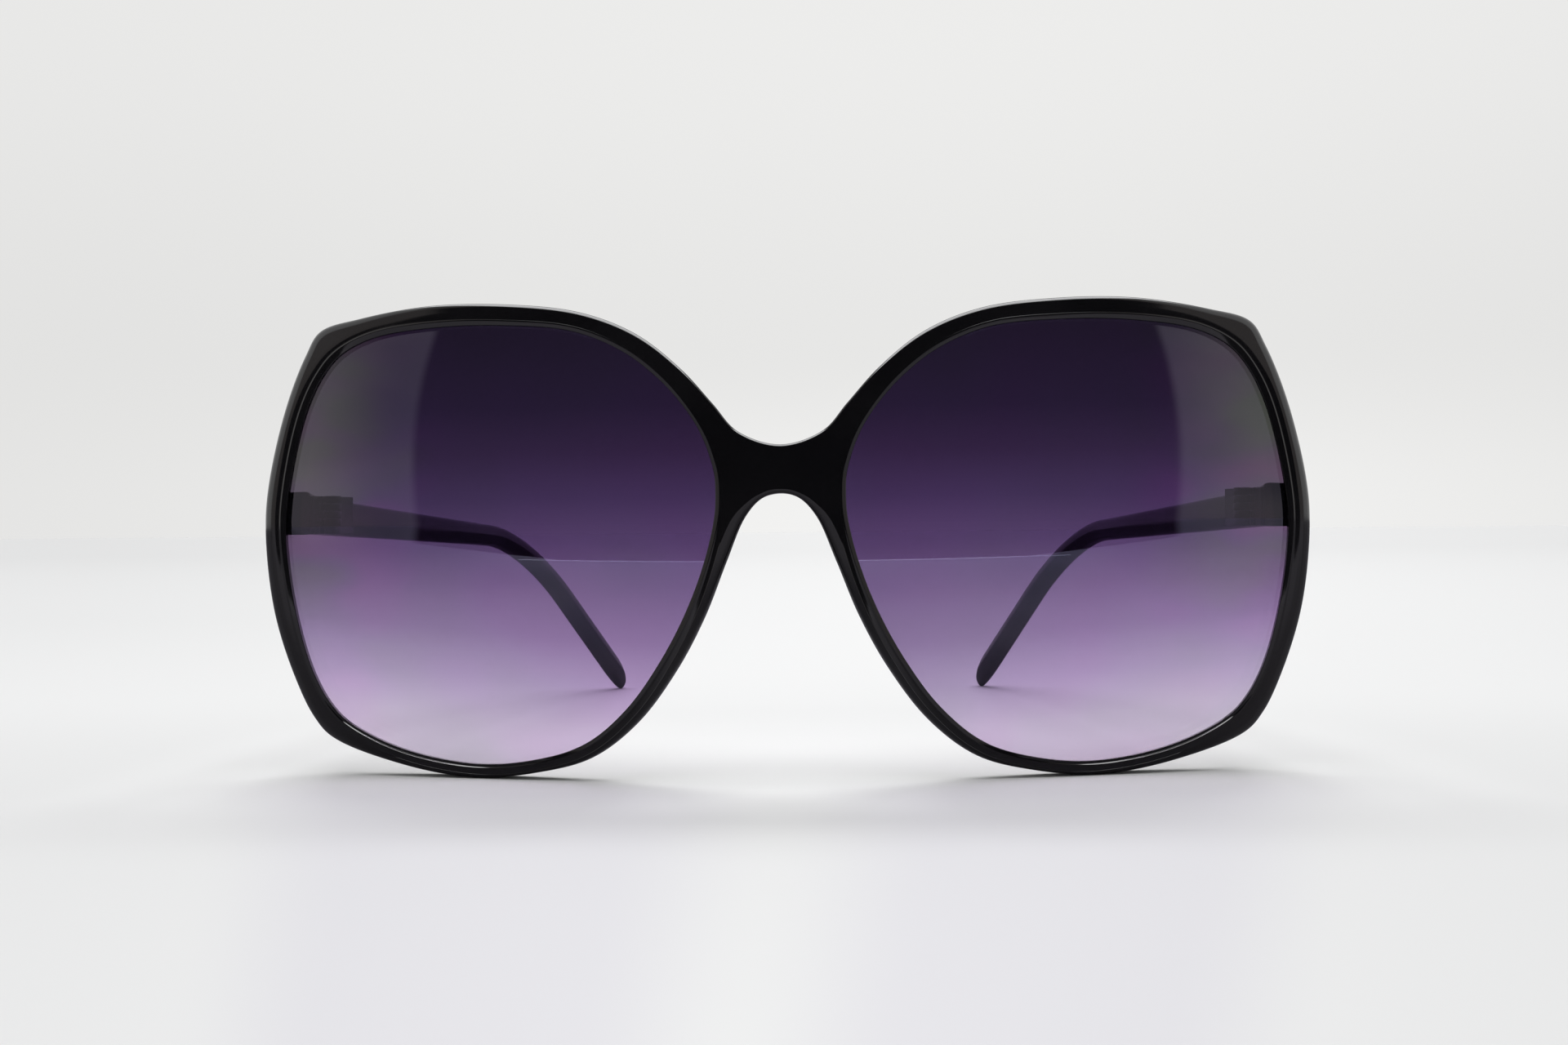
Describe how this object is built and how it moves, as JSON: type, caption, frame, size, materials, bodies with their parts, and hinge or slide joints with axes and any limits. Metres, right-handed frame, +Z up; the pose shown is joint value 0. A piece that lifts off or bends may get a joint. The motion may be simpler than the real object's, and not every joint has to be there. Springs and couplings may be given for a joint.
{
  "type": "sunglasses",
  "caption": "Oversized rounded-square sunglasses: a curved gloss front with gradient lenses and folding temples on barrel hinges.",
  "frame": {"origin": "middle of the footprint's bounding box, on the table that the sunglasses stand on with the temples open", "axes": "+X to the wearer's left, -Y out through the lenses, +Z up"},
  "size_m": [0.1492, 0.1434, 0.0668],
  "materials": {
    "frame_plastic": "polished black injection-moulded plastic",
    "tinted_lens": "clear polycarbonate tinted violet-grey, dark at the top and fading to pale at the bottom",
    "hinge_metal": "black plated hinge metal, semi-gloss",
    "screw_steel": "dark machined steel, turned"
  },
  "bodies": {
    "front": {"front_frame": "frame_plastic", "lens_left": "tinted_lens", "lens_right": "tinted_lens", "front_hinge_leaf_left": "hinge_metal", "front_hinge_leaf_right": "hinge_metal", "hinge_screw_left": "screw_steel", "hinge_screw_right": "screw_steel"},
    "temple_left_arm": {"temple_left": "frame_plastic", "temple_hinge_leaf_left": "hinge_metal"},
    "temple_right_arm": {"temple_right": "frame_plastic", "temple_hinge_leaf_right": "hinge_metal"}
  },
  "joints": [
    {"name": "temple_left_fold", "type": "hinge", "parent": "front", "child": "temple_left_arm", "pos_m": [0.066, -0.05152, 0.0374], "axis": [0, 0, 1], "range_deg": [0, 77]},
    {"name": "temple_right_fold", "type": "hinge", "parent": "front", "child": "temple_right_arm", "pos_m": [-0.066, -0.05152, 0.0374], "axis": [0, 0, -1], "range_deg": [0, 71]}
  ]
}
